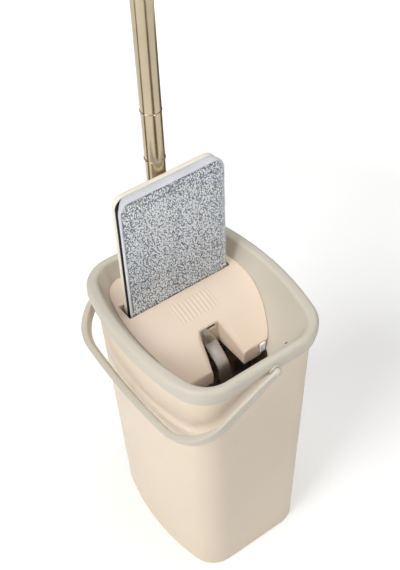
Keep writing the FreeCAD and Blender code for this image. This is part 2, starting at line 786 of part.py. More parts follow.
# ------------------------------------------------------------------ build, check and write
make_bucket_shell()
make_rim_collar()
make_wringer_cover()
make_latch_tab()
make_guides()
make_scrub_board()
make_scraper()
make_leaf_spring()
make_bail()
make_mop_head()
make_yoke()
make_pole()
doc.recompute()

for item in doc.Objects:
    if "Invalid" in item.State or "Error" in item.State:
        raise RuntimeError(f"{item.Name} ({item.Label}) could not be built: {item.State}")
for name, item in NODES.items():
    if item.Shape.isNull() or not item.Shape.isValid() or not item.Shape.Solids:
        raise RuntimeError(f"{name} has no valid solid")

os.makedirs("parts", exist_ok=True)
for name, item in NODES.items():
    item.Shape.exportStep(f"parts/{name}.step")
    box_ = item.Shape.BoundBox
    print(f"{name:18s} solids {len(item.Shape.Solids)} volume {item.Shape.Volume / 1000:8.1f} cm3 "
          f"x {box_.XMin:7.1f} {box_.XMax:7.1f} y {box_.YMin:7.1f} {box_.YMax:7.1f} "
          f"z {box_.ZMin:7.1f} {box_.ZMax:7.1f}")
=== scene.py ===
import json
import math

import bpy
import numpy as np
from mathutils import Matrix, Vector


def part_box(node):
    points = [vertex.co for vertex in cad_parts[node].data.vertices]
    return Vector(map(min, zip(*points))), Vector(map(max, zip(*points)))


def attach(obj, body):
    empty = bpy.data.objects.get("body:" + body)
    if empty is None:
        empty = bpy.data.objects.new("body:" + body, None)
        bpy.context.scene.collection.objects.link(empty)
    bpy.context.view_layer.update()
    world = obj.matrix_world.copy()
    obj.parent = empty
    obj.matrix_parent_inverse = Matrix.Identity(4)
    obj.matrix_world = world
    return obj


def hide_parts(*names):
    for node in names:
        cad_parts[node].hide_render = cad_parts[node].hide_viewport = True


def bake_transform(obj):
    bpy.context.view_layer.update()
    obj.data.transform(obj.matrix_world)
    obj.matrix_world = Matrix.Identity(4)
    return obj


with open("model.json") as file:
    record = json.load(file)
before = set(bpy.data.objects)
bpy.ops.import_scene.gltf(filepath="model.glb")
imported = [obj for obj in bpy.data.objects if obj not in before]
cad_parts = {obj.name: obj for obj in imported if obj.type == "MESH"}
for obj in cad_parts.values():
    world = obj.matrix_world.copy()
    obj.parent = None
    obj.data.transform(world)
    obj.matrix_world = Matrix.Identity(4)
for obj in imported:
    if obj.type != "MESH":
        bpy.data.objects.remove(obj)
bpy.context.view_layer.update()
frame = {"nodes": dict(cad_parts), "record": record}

# A hands-free flat mop standing in its squeeze bucket. Lengths in this file are millimetres
# unless a name says otherwise, and are turned into metres where a mesh is made.
MM = 0.001
RNG = np.random.default_rng(11)
NODES = frame["nodes"]
SLOT_OF = {part["node"]: part["material_slot"] for part in frame["record"]["subparts"]}
BODY_OF = {node: body for body, members in frame["record"]["behaviour"]["bodies"].items()
           for node in members}
TUFT_COLOUR = "tuft_colour"


def cad_range(node):
    """Lowest and highest corner of a CAD node, in millimetres."""
    low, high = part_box(node)
    return np.array(low) / MM, np.array(high) / MM


def ramp(value, start, end):
    """Share of the way from start to end, held at 0 before and 1 after."""
    return np.clip((value - start) / (end - start), 0, 1)


def smooth(share):
    """A share from 0 to 1 with its two ends eased."""
    return share * share * (3 - 2 * share)


# ------------------------------------------------------------------ materials
class Recipe:
    """A material's node tree, put together from small procedural steps."""

    def __init__(self, name, **fixed):
        self.material = bpy.data.materials.new(name)
        self.material.use_nodes = True
        self.tree = self.material.node_tree
        self.shader = self.tree.nodes["Principled BSDF"]
        self.place = self.add("ShaderNodeTexCoord").outputs["Object"]
        self.relief = None
        for socket, value in fixed.items():
            self.shader.inputs[socket.replace("_", " ")].default_value = value

    def add(self, kind, inputs=None, **settings):
        item = self.tree.nodes.new(kind)
        for key, value in settings.items():
            setattr(item, key, value)
        for key, value in (inputs or {}).items():
            if isinstance(value, bpy.types.NodeSocket):
                self.tree.links.new(value, item.inputs[key])
            else:
                item.inputs[key].default_value = value
        return item

    def feed(self, socket, output):
        self.tree.links.new(output, self.shader.inputs[socket])

    def stretched(self, x, y, z):
        """Object coordinates scaled by its own factor on each axis."""
        return self.add("ShaderNodeMapping", {"Vector": self.place, "Scale": (x, y, z)}).outputs[0]

    def noise(self, scale, detail=2.0, place=None, roughness=0.5):
        inputs = {"Vector": place or self.place, "Scale": scale, "Detail": detail,
                  "Roughness": roughness}
        return self.add("ShaderNodeTexNoise", inputs).outputs[0]

    def cells(self, scale, randomness):
        inputs = {"Vector": self.place, "Scale": scale, "Randomness": randomness}
        return self.add("ShaderNodeTexVoronoi", inputs).outputs["Distance"]

    def spread(self, value, low, high, start=0.3, end=0.7):
        """Map a value between start and end onto the span from low to high."""
        inputs = {"Value": value, "From Min": start, "From Max": end, "To Min": low, "To Max": high}
        return self.add("ShaderNodeMapRange", inputs).outputs[0]

    def maths(self, operation, a, b):
        return self.add("ShaderNodeMath", {0: a, 1: b}, operation=operation).outputs[0]

    def blend(self, share, first, second):
        inputs = {0: share, 6: first, 7: second}
        return self.add("ShaderNodeMix", inputs, data_type="RGBA").outputs[2]

    def bump(self, height, distance, strength):
        """Add a layer of relief, its distance in millimetres, on top of any layers before it."""
        inputs = {"Height": height, "Distance": distance * MM, "Strength": strength}
        if self.relief is not None:
            inputs["Normal"] = self.relief
        self.relief = self.add("ShaderNodeBump", inputs).outputs[0]
        self.feed("Normal", self.relief)


def shade(colour, factor):
    """The colour made lighter or darker by a factor, with full opacity."""
    return tuple(channel * factor for channel in colour[:3]) + (1.0,)


def moulded(name, colour, rough=0.42, grain=0.03, coat=0.0):
    """Satin moulded plastic: slow colour drift, fine spark grain, faint flow waves and scuffs."""
    recipe = Recipe(name, IOR=1.49, Coat_Weight=coat, Coat_Roughness=0.25)
    drift = recipe.spread(recipe.noise(9.0, 3.0), 0.0, 1.0)
    speck = recipe.spread(recipe.noise(1400.0, 2.0), 0.0, 0.5)
    tone = recipe.blend(drift, shade(colour, 0.965), shade(colour, 1.02))
    tone = recipe.blend(speck, tone, shade(colour, 0.95))
    scratch_lines = recipe.noise(60.0, 4.0, recipe.stretched(1.0, 14.0, 3.0), 0.7)
    scuffs = recipe.spread(scratch_lines, 0.0, 0.35, 0.66, 0.74)
    recipe.feed("Base Color", recipe.blend(scuffs, tone, shade(colour, 1.05)))
    worn = recipe.spread(recipe.noise(34.0, 4.0), rough - 0.05, rough + 0.08)
    recipe.feed("Roughness", recipe.maths("ADD", worn, scuffs))
    recipe.bump(recipe.noise(18.0, 1.0), 0.35, 0.35)
    recipe.bump(recipe.noise(1700.0, 3.0), grain, 0.6)
    return recipe.material


def metal(name, colour, rough, stretch, streak=0.5):
    """Drawn or brushed metal: streaks along the stretch, smudges, and a trace of fine scratches."""
    recipe = Recipe(name, Metallic=1.0)
    lines = recipe.noise(1.0, 5.0, recipe.stretched(*stretch), 0.65)
    smudge = recipe.noise(22.0, 3.0)
    tone = recipe.blend(recipe.spread(smudge, 0.0, 1.0), shade(colour, 0.9), shade(colour, 1.05))
    streaks = recipe.spread(lines, 0.0, streak)
    recipe.feed("Base Color", recipe.blend(streaks, tone, shade(colour, 0.72)))
    recipe.feed("Roughness", recipe.maths("ADD", recipe.spread(lines, rough, rough * 1.5),
                                          recipe.spread(smudge, 0.0, 0.06)))
    recipe.bump(lines, 0.012, 0.5)
    return recipe.material


def rubber(name, colour):
    """Soft black rubber with a faint grey bloom."""
    recipe = Recipe(name, IOR=1.45)
    bloom = recipe.spread(recipe.noise(45.0, 4.0), 0.0, 1.0)
    recipe.feed("Base Color", recipe.blend(bloom, shade(colour, 0.8), shade(colour, 1.5)))
    recipe.feed("Roughness", recipe.spread(recipe.noise(160.0, 3.0), 0.6, 0.8))
    recipe.bump(recipe.noise(1500.0, 3.0), 0.05, 0.7)
    return recipe.material


def hooks(name, colour):
    """Hook tape: rows of tiny hooks on a woven ground."""
    recipe = Recipe(name, Sheen_Weight=0.02, Specular_IOR_Level=0.15)
    rows = recipe.cells(850.0, 0.35)
    recipe.feed("Base Color", recipe.blend(recipe.spread(rows, 0.0, 1.0, 0.2, 0.7),
                                           shade(colour, 1.5), shade(colour, 0.5)))
    recipe.feed("Roughness", recipe.spread(rows, 0.55, 0.9))
    recipe.bump(rows, 0.5, 0.9)
    return recipe.material


def tape(name, colour):
    """Woven binding tape: fine diagonal twill over slow colour drift."""
    recipe = Recipe(name, Sheen_Weight=0.35, Sheen_Roughness=0.5)
    twill = recipe.add("ShaderNodeTexWave", {"Vector": recipe.place, "Scale": 420.0,
                                             "Distortion": 1.5, "Detail": 2.0,
                                             "Detail Scale": 3.0},
                       bands_direction="DIAGONAL").outputs[1]
    fuzz = recipe.noise(900.0, 4.0)
    tone = recipe.blend(recipe.spread(recipe.noise(40.0, 3.0), 0.0, 1.0), shade(colour, 0.9),
                        shade(colour, 1.06))
    recipe.feed("Base Color", recipe.blend(recipe.spread(fuzz, 0.0, 0.4), tone,
                                           shade(colour, 0.75)))
    recipe.feed("Roughness", recipe.spread(fuzz, 0.75, 0.95))
    recipe.bump(twill, 0.12, 0.6)
    recipe.bump(fuzz, 0.18, 0.6)
    return recipe.material


def pile(name):
    """Chenille yarn: every tuft carries its own colour, with fibres along it."""
    recipe = Recipe(name, Sheen_Weight=0.3, Sheen_Roughness=0.6)
    own = recipe.add("ShaderNodeAttribute", attribute_name=TUFT_COLOUR).outputs["Color"]
    fibre = recipe.noise(1.0, 3.0, recipe.stretched(2600.0, 2600.0, 1300.0), 0.7)
    recipe.feed("Base Color", recipe.blend(recipe.spread(fibre, 0.0, 0.07), own,
                                           (0.30, 0.34, 0.40, 1.0)))
    recipe.feed("Roughness", recipe.spread(fibre, 0.8, 0.98))
    recipe.bump(fibre, 0.25, 0.7)
    return recipe.material


CREAM = (0.83, 0.71, 0.56)
GREIGE = (0.64, 0.59, 0.50)
PEACH = (0.84, 0.69, 0.56)
ACROSS_TUBE = (900.0, 900.0, 6.0)
ACROSS_LEAF = (1800.0, 20.0, 20.0)
FINISH = {
    "cream_shell": moulded("cream_shell", CREAM, 0.46),
    "grey_beige_collar": moulded("grey_beige_collar", GREIGE, 0.44),
    "peach_cover": moulded("peach_cover", PEACH, 0.48),
    "white_tab": moulded("white_tab", (0.95, 0.94, 0.94), 0.3, coat=0.3),
    "plate_cream": moulded("plate_cream", (0.93, 0.86, 0.72), 0.42),
    "black_hook": hooks("black_hook", (0.012, 0.012, 0.014)),
    "chenille_pile": pile("chenille_pile"),
    "lavender_binding": tape("lavender_binding", (0.68, 0.69, 0.74)),
    "leaf_steel": metal("leaf_steel", (0.78, 0.75, 0.71), 0.32, ACROSS_LEAF),
    "pin_steel": metal("pin_steel", (0.62, 0.62, 0.62), 0.25, (300.0, 300.0, 300.0)),
    "blade_rubber": rubber("blade_rubber", (0.03, 0.03, 0.032)),
    "grey_joint": moulded("grey_joint", GREIGE, 0.42),
    "champagne_tube": metal("champagne_tube", (0.56, 0.47, 0.33), 0.13, ACROSS_TUBE, 0.25),
    "dark_plug": moulded("dark_plug", (0.02, 0.02, 0.02), 0.55),
    "grip_plastic": moulded("grip_plastic", GREIGE, 0.5, grain=0.08),
}
for node, item in NODES.items():
    item.data.materials.clear()
    item.data.materials.append(FINISH[SLOT_OF[node]])


# ------------------------------------------------------------------ mesh helpers
def dress(item, slot, body, *stands_for):
    """Give a mesh object its material, its body and the CAD nodes that it replaces."""
    item.data.shade_smooth()
    item.data.materials.clear()
    item.data.materials.append(FINISH[slot])
    if body:
        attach(item, body)
    if stands_for:
        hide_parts(*stands_for)


def build(name, points, faces, slot, body, *stands_for):
    """A smooth-shaded mesh object from points in millimetres, riding on a body."""
    mesh = bpy.data.meshes.new(name)
    points = np.asarray(points, float) * MM
    mesh.from_pydata(points.tolist(), [], [list(map(int, face)) for face in faces])
    mesh.validate()
    item = bpy.data.objects.new(name, mesh)
    bpy.context.scene.collection.objects.link(item)
    dress(item, slot, body, *stands_for)
    return item


def coordinates(mesh):
    """The mesh's points in metres, one row each."""
    flat = np.empty(len(mesh.vertices) * 3)
    mesh.vertices.foreach_get("co", flat)
    return flat.reshape(-1, 3)


def applied(item):
    """The object's mesh with its modifiers applied."""
    graph = bpy.context.evaluated_depsgraph_get()
    mesh = bpy.data.meshes.new_from_object(item.evaluated_get(graph))
    item.modifiers.clear()
    item.data = mesh
    return mesh


def softened(node, voxel, passes=5, slot=None):
    """A moulded version of a CAD node: the same shape with its edges eased."""
    slot = slot or SLOT_OF[node]
    item = bpy.data.objects.new(f"{node}_moulding", NODES[node].data.copy())
    bpy.context.scene.collection.objects.link(item)
    remesh = item.modifiers.new("Remesh", "REMESH")
    remesh.mode = "VOXEL"
    remesh.voxel_size = voxel * MM
    ease = item.modifiers.new("Ease", "SMOOTH")
    ease.factor = 0.5
    ease.iterations = passes
    applied(item)
    dress(item, slot, BODY_OF[node], node)
    return item


def ring_faces(rings, count, close_ends=True):
    """Quads that join rings of points, each with count points, and a face over each end."""
    faces = []
    for ring in range(rings - 1):
        low, high = ring * count, (ring + 1) * count
        for step in range(count):
            after = (step + 1) % count
            faces.append((low + step, low + after, high + after, high + step))
    if close_ends:
        faces.append(tuple(range(count))[::-1])
        faces.append(tuple(range((rings - 1) * count, rings * count)))
    return faces


def rounded_rectangle(half_x, half_z, corner, spacing=3.0):
    """Points (x, z) round a rounded rectangle and the outward direction at each."""
    points, outward = [], []
    fewest_arc_steps = 6
    arc_steps = max(fewest_arc_steps, int(corner * math.pi / 2 / spacing))
    for quarter in range(4):
        start = quarter * math.pi / 2
        sign_x = 1 if quarter in (0, 3) else -1
        sign_z = 1 if quarter in (0, 1) else -1
        centre = np.array([sign_x * (half_x - corner), sign_z * (half_z - corner)])
        for step in range(arc_steps + 1):
            angle = start + math.pi / 2 * step / arc_steps
            direction = np.array([math.cos(angle), math.sin(angle)])
            points.append(centre + corner * direction)
            outward.append(direction)
        run = 2 * (half_z if quarter % 2 else half_x) - 2 * corner
        side = np.array([math.cos(start + math.pi / 2), math.sin(start + math.pi / 2)])
        along = np.array([-side[1], side[0]])
        run_steps = int(run / spacing)
        for step in range(1, run_steps):
            points.append(centre + corner * side + along * run * step / run_steps)
            outward.append(side)
    return np.array(points), np.array(outward)


# ------------------------------------------------------------------ wringer cover
cover_low, cover_high = cad_range("wringer_cover")
level_z = cover_high[2]
lip_y = cover_low[1]
LEVEL_Y = 40.0
LIP_Z = 311.0
NOTCH_BACK_Y = -14.5
NOTCH_BACK_HALF = 12.6
NOTCH_LIP_HALF = 21.0
NOTCH_BACK_ROUND = 2.2
NOTCH_FLANK_ROUND = 6.8
NOTCH_ROUND_EASE = 9.0


def cover_height(y):
    """Height of the cover's top at a distance y: an arc from the lip up to the level part."""
    fall = level_z - LIP_Z
    run = LEVEL_Y - lip_y
    radius = (run * run + fall * fall) / (2 * fall)
    inside = np.clip(LEVEL_Y - y, 0, run)
    return level_z - radius + np.sqrt(radius ** 2 - inside ** 2)


def nearest_on_line(points, corners):
    """For points in plan: distance from an open line, direction away from it, and place on it."""
    on_the_line = 0.3
    best = np.full(len(points), np.inf)
    spot = np.zeros_like(points)
    normal = np.zeros_like(points)
    for start, end in zip(corners, corners[1:]):
        start, end = np.array(start), np.array(end)
        along = end - start
        share = np.clip(((points - start) @ along) / (along @ along), 0, 1)
        foot = start + share[:, None] * along
        distance = np.linalg.norm(points - foot, axis=1)
        closer = distance < best
        best[closer] = distance[closer]
        spot[closer] = foot[closer]
        normal[closer] = np.array([-along[1], along[0]]) / np.linalg.norm(along)
    side = ((points - spot) * normal).sum(1)
    far = best > on_the_line
    away = (points - spot) / np.maximum(best, 1e-9)[:, None]
    normal[far & (side > 0)] = away[far & (side > 0)]
    return best * np.where(side < 0, -1, 1), normal, spot


def round_notch(spots):
    """Bend the cover's skin near the notch's edge onto a round edge, wide along its flanks."""
    corners = [(-NOTCH_LIP_HALF, lip_y), (-NOTCH_BACK_HALF, NOTCH_BACK_Y),
               (NOTCH_BACK_HALF, NOTCH_BACK_Y), (NOTCH_LIP_HALF, lip_y)]
    skin_depth, above_skin, past_lip = 0.95, 0.9, 0.5
    away, normal, spot = nearest_on_line(spots[:, :2], corners)
    depth = cover_height(spots[:, 1]) - spots[:, 2]
    flank = smooth(ramp(spot[:, 1], NOTCH_BACK_Y, NOTCH_BACK_Y - NOTCH_ROUND_EASE))
    radius = NOTCH_BACK_ROUND + (NOTCH_FLANK_ROUND - NOTCH_BACK_ROUND) * flank
    share = (away - depth) / radius
    under_skin = np.minimum(away, depth)
    skin = (under_skin < skin_depth) & (under_skin > -above_skin)
    chosen = skin & (np.abs(share) < 1) & (spots[:, 1] > lip_y - past_lip)
    angle = math.pi / 4 * (1 - share[chosen])
    new_away = radius[chosen] * (1 - np.sin(angle))
    new_depth = radius[chosen] * (1 - np.cos(angle))
    spots[chosen, :2] += normal[chosen] * (new_away - away[chosen])[:, None]
    spots[chosen, 2] = cover_height(spots[chosen, 1]) - new_depth


def make_cover():
    """The cover with eased edges, a softly rounded notch and a row of grip ribs."""
    item = softened("wringer_cover", 0.75, 4)
    spots = coordinates(item.data) / MM
    lip_reach, lip_depth = 4.0, 7.0
    depth = cover_height(spots[:, 1]) - spots[:, 2]
    near_lip = ramp(np.abs(spots[:, 1] - lip_y), lip_reach, 0.0)
    weight = near_lip * (np.abs(depth) < lip_depth)
    least_weight = 0.02
    group = item.vertex_groups.new(name="ease")
    for index in np.flatnonzero(weight > least_weight):
        group.add([int(index)], float(weight[index]), "REPLACE")
    ease = item.modifiers.new("Ease", "SMOOTH")
    ease.factor = 0.6
    ease.iterations = 45
    ease.vertex_group = "ease"
    mesh = applied(item)
    spots = coordinates(mesh) / MM
    round_notch(spots)

    rib_pitch, rib_half, rib_rise = 5.0, 1.5, 0.55
    rib_start, rib_end, rib_fade = -1.0, 25.0, 2.5
    ribs_each_side = 5
    skin = 0.6
    across = (spots[:, 0] + rib_pitch / 2) % rib_pitch - rib_pitch / 2
    crown = np.clip(1 - (across / rib_half) ** 2, 0, 1)
    ends = (ramp(spots[:, 1], rib_start, rib_start + rib_fade)
            * ramp(spots[:, 1], rib_end, rib_end - rib_fade))
    in_row = np.abs(spots[:, 0]) < rib_pitch * ribs_each_side
    on_top = np.abs(cover_height(spots[:, 1]) - spots[:, 2]) < skin
    spots[:, 2] += rib_rise * np.sqrt(crown) * np.sqrt(ends) * in_row * on_top
    mesh.vertices.foreach_set("co", (spots * MM).ravel())
    mesh.update()


make_cover()


# ------------------------------------------------------------------ bail strap
BAIL_PIVOT = (10.0, 0.0, 354.0)
BAIL_TILT = math.radians(28.7)
BAIL_HALF = 119.5
BAIL_ARM = 122.7
BAIL_BOW = 8.0
BAIL_CORNER = 51.0
BAIL_EYE = 4.6
STRAP_THICK = 4.0
STRAP_WIDTH = 13.0
STRAP_EDGE = 1.3


def bail_path():
    """The strap's middle line, level: points (x, y) with the outward direction at each."""
    radius = (BAIL_HALF ** 2 + BAIL_BOW ** 2) / (2 * BAIL_BOW)
    far_x = -BAIL_ARM - BAIL_BOW + radius
    centre_x = far_x - math.sqrt((radius - BAIL_CORNER) ** 2 - (BAIL_HALF - BAIL_CORNER) ** 2)
    centre_y = BAIL_HALF - BAIL_CORNER
    turn_end = math.atan2(centre_y, far_x - centre_x)
    eye_stations = np.linspace(BAIL_EYE, -BAIL_EYE, 13)
    arm_stations = np.linspace(-BAIL_EYE - 3, centre_x, 16)
    half = [(x, BAIL_HALF, 0.0, 1.0) for x in np.concatenate((eye_stations, arm_stations))]
    for angle in np.linspace(0, math.pi / 2 - turn_end, 26)[1:]:
        half.append((centre_x - BAIL_CORNER * math.sin(angle),
                     centre_y + BAIL_CORNER * math.cos(angle),
                     -math.sin(angle), math.cos(angle)))
    for angle in np.linspace(turn_end, 0, 26)[1:]:
        half.append((far_x - radius * math.cos(angle), radius * math.sin(angle),
                     -math.cos(angle), math.sin(angle)))
    return half + [(x, -y, out_x, -out_y) for x, y, out_x, out_y in half[-2::-1]]


def strap_section():
    """The strap's section (out, across): rounded edges, and a point midway on each edge."""
    section = []
    edge_steps = 4
    for quarter, (sign_out, sign_across) in enumerate(((1, 1), (-1, 1), (-1, -1), (1, -1))):
        centre_out = sign_out * (STRAP_THICK / 2 - STRAP_EDGE)
        centre_across = sign_across * (STRAP_WIDTH / 2 - STRAP_EDGE)
        for step in range(edge_steps + 1):
            angle = (quarter + step / edge_steps) * math.pi / 2
            section.append((centre_out + STRAP_EDGE * math.cos(angle),
                            centre_across + STRAP_EDGE * math.sin(angle)))
        if quarter in (0, 2):
            section.append((0.0, sign_across * STRAP_WIDTH / 2))
    return section


def make_bail():
    """Strap bail: a rounded flat section swept round the loop, slimmer towards its pivots."""
    neck_width, neck_start, neck_end = 0.68, 6.0, 26.0
    grip_extra, grip_start, grip_end = 1.7, 60.0, 105.0
    eye_tip = 0.02
    path = bail_path()
    section = strap_section()
    points = []
    for x, y, out_x, out_y in path:
        slim = neck_width + (1 - neck_width) * ramp(-x, neck_start, neck_end)
        if x > 0:
            slim *= math.sqrt(max(eye_tip, 1 - (x / BAIL_EYE) ** 2))
        grip = grip_extra * smooth(ramp(-x, grip_start, grip_end))
        for out, across in section:
            reach = out + min(out, 0.0) * grip
            points.append((x + out_x * reach, y + out_y * reach, across * slim))
    item = build("bail_strap", points, ring_faces(len(path), len(section)),
                 "grey_beige_collar", None)
    item.data.transform(Matrix.Translation(Vector(BAIL_PIVOT) * MM)
                        @ Matrix.Rotation(-BAIL_TILT, 4, "Y"))
    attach(item, "bail")
    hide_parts("bail_handle")


make_bail()


# ------------------------------------------------------------------ mop head
backing_low, backing_high = cad_range("pad_backing")
pad_low, pad_high = cad_range("mop_pad")
plate_low, plate_high = cad_range("mop_plate")
head_z = (backing_low[2] + backing_high[2]) / 2
half_x = (backing_high[0] - backing_low[0]) / 2
half_z = (backing_high[2] - backing_low[2]) / 2
PAD_CORNER = 14.0
CORE_INSET = 1.5


def loft(half_x, half_z, corner, rings, centre=(0.0, 0.0)):
    """A closed slab standing on end: rings are (distance inside the outline, y)."""
    outline, outward = rounded_rectangle(half_x, half_z, corner)
    points = []
    for inset, y in rings:
        ring = outline - outward * inset
        points += [(x + centre[0], y, z + centre[1]) for x, z in ring]
    return points, ring_faces(len(rings), len(outline))


def merged(*parts):
    """Points and faces of several meshes in one list."""
    points, faces = [], []
    for more_points, more_faces in parts:
        start = len(points)
        points += list(more_points)
        faces += [tuple(index + start for index in face) for face in more_faces]
    return points, faces


def make_plate():
    """Cream plate with rounded edges, a recessed back, a boss for the hinge bracket and ribs."""
    front, back = plate_low[1], plate_high[1]
    floor = back - 2.5
    body = loft((plate_high[0] - plate_low[0]) / 2, (plate_high[2] - plate_low[2]) / 2,
                PAD_CORNER - 1,
                [(12.5, front), (2.4, front), (0.9, front + 0.35), (0.15, front + 1.2),
                 (0.0, front + 2.2), (0.0, back - 2.4), (0.2, back - 1.3), (0.9, back - 0.35),
                 (2.2, back), (5.6, back), (6.6, back - 0.3), (7.2, back - 1.2),
                 (8.4, back - 1.5), (12.5, back - 1.5)], (0, head_z))
    boss_half_x, boss_half_z, boss_corner = 29, 26, 8
    boss = loft(boss_half_x, boss_half_z, boss_corner,
                [(7.5, floor), (0.0, floor), (0.0, back - 0.6), (0.5, back - 0.1), (1.4, back),
                 (7.5, back)], (0, head_z))
    rib_half_x, rib_half_z, rib_corner = 2.0, 62, 1.9
    rib_x, rib_z = 18, 86
    ribs = [loft(rib_half_x, rib_half_z, rib_corner,
                 [(1.8, floor), (0.0, floor), (0.1, back - 0.9), (0.8, back - 0.35),
                  (1.8, back - 0.3)], (x, head_z + z))
            for x in (-rib_x, rib_x) for z in (-rib_z, rib_z)]
    points, faces = merged(body, boss, *ribs)
    build("mop_plate_moulding", points, faces, "plate_cream", "mop_head", "mop_plate")


make_plate()


def make_binding():
    """Woven binding rolled over the pad's rim, wider where it shows at the left and on top."""
    outline, outward = rounded_rectangle(half_x, half_z, PAD_CORNER, 2.0)
    front, back = pad_low[1] + 0.6, backing_high[1]
    lip_width, lip_shown = 1.2, 0.9
    side_reach, top_reach = back - 4.2, back + 3.1
    side_tuck = 1.6
    count = len(outline)
    steps = np.arange(count)
    pucker = 0.22 * np.sin(steps * 1.9) + 0.25 * np.sin(steps * 0.37)
    points = []
    for wave, (x, z), (out_x, out_z) in zip(pucker, outline, outward):
        lip = lip_width + lip_shown * max(0.0, out_z, -out_x) + wave
        top = max(0.0, out_z) ** 2
        reach = side_reach + (top_reach - side_reach) * top + 0.25 * wave
        deep = reach - front
        tuck = side_tuck * (1 - top)
        section = [(-lip, front + 1.6), (-lip + 0.5, front + 0.7), (-lip * 0.5, front + 0.3),
                   (-0.7, front + 0.6), (0.0, front + 1.4), (0.45, front + 0.45 * deep),
                   (0.3, front + 0.7 * deep), (-0.3 - 0.4 * tuck, reach - 0.6),
                   (-1.0 - tuck, reach), (-4.0, reach), (-4.4, reach - 0.6), (-4.6, front + 3.0)]
        points += [(x + out_x * out, y, z + head_z + out_z * out) for out, y in section]
    size = len(section)
    faces = ring_faces(count, size, close_ends=False)
    last = (count - 1) * size
    faces += [(last + step, last + (step + 1) % size, (step + 1) % size, step)
              for step in range(size)]
    build("pad_binding", points, faces, "lavender_binding", "mop_head", "pad_backing")


def make_backing():
    """The pad's cloth back, inside its binding."""
    front, back = pad_low[1] + 3.6, backing_high[1]
    points, faces = loft(half_x - CORE_INSET, half_z - CORE_INSET, PAD_CORNER - CORE_INSET,
                         [(10, front), (0.6, front), (0.0, front + 0.6), (0.0, back - 0.8),
                          (0.6, back - 0.15), (10, back - 0.05)], (0, head_z))
    build("pad_backing_cloth", points, faces, "black_hook", "mop_head")


def make_hook_layer():
    """Black hook tape glued to the plate's front, out to near the plate's rim."""
    low, high = cad_range("hook_layer")
    wider, taller = 1.4, 1.0
    points, faces = loft(high[0] + wider, (high[2] - low[2]) / 2 + taller, PAD_CORNER - 2,
                         [(12, low[1]), (0.5, low[1]), (0.0, low[1] + 0.5), (0.0, high[1]),
                          (12, high[1])], (0, head_z))
    build("hook_tape", points, faces, "black_hook", "mop_head", "hook_layer")


def tuft_shape():
    """A stub of yarn with a rounded end: base at 0 and end at 1 along z, unit radius."""
    sides = 6
    points = []
    stations = [(0.0, 0.8), (0.55, 1.0), (0.82, 0.85), (0.97, 0.4)]
    for along, girth in stations:
        for side in range(sides):
            angle = 2 * math.pi * side / sides
            points.append((girth * math.cos(angle), girth * math.sin(angle), along))
    return np.array(points), ring_faces(len(stations), sides)


TUFT, TUFT_FACES = tuft_shape()


def inside_distance(x, z, half_a, half_b, corner):
    """Distance inside a rounded rectangle's outline; negative outside it."""
    qx, qz = np.abs(x) - (half_a - corner), np.abs(z) - (half_b - corner)
    outside = np.hypot(np.maximum(qx, 0), np.maximum(qz, 0))
    return corner - outside - np.minimum(np.maximum(qx, qz), 0)


def tuft_places():
    """Places (x, z) of the tufts, and each one's distance inside the pad's outline."""
    pitch_x, pitch_z = 1.42, 1.6
    start, stop = 1.5, 1.2
    columns = np.arange(-half_x + start, half_x - stop, pitch_x)
    rows = np.arange(-half_z + start, half_z - stop, pitch_z)
    grid_x, grid_z = np.meshgrid(columns, rows)
    grid_x[1::2] += pitch_x / 2
    x = grid_x.ravel() + RNG.normal(0, 0.38, grid_x.size)
    z = grid_z.ravel() + RNG.normal(0, 0.42, grid_x.size)
    inset = inside_distance(x, z, half_x, half_z, PAD_CORNER)
    bound_edge, wide_edge, edge_fade = 1.7, 1.1, 6.0
    towards_edge = np.maximum(-x - half_x + 9, z - half_z + 9)
    keep = inset > bound_edge + wide_edge * ramp(towards_edge, 0, edge_fade)
    return x[keep], z[keep], inset[keep]


def tuft_points(x, z, inset, seam, front):
    """Points of all the tufts, one tuft after another: root in the core, end near the face."""
    count = len(x)
    root_depth, face_depth = 4.4, 0.6
    radius = RNG.uniform(0.52, 0.78, count)
    crown = 0.5 * ramp(inset, 0, 14)
    end_y = front + face_depth - crown + RNG.uniform(0.0, 1.5, count) + 1.1 * seam
    root = np.column_stack([x, np.full(count, front + root_depth), z])
    sway = 0.8 * np.sin(x / 5.5 + 0.6 * np.sin(z / 21)) + RNG.normal(0, 0.9, count)
    droop = -1.1 + RNG.normal(0, 0.9, count)
    end = np.column_stack([x + sway, end_y, z + droop])
    along = end - root
    forward = along / np.linalg.norm(along, axis=1)[:, None]
    first = np.cross(forward, [0.0, 0.0, 1.0])
    first /= np.linalg.norm(first, axis=1)[:, None]
    second = np.cross(forward, first)
    stretch = RNG.uniform(1.0, 1.5, count)
    twist = RNG.uniform(0.2, 1.1, count)
    wide = TUFT[None, :, 0] * (radius * stretch)[:, None]
    slim = TUFT[None, :, 1] * radius[:, None]
    turned_a = wide * np.cos(twist)[:, None] - slim * np.sin(twist)[:, None]
    turned_b = wide * np.sin(twist)[:, None] + slim * np.cos(twist)[:, None]
    points = (root[:, None] + along[:, None] * TUFT[None, :, 2:]
              + first[:, None] * turned_a[..., None] + second[:, None] * turned_b[..., None])
    points[..., 1] = np.maximum(points[..., 1], front)
    points[..., 2] += head_z
    return points.reshape(-1, 3)


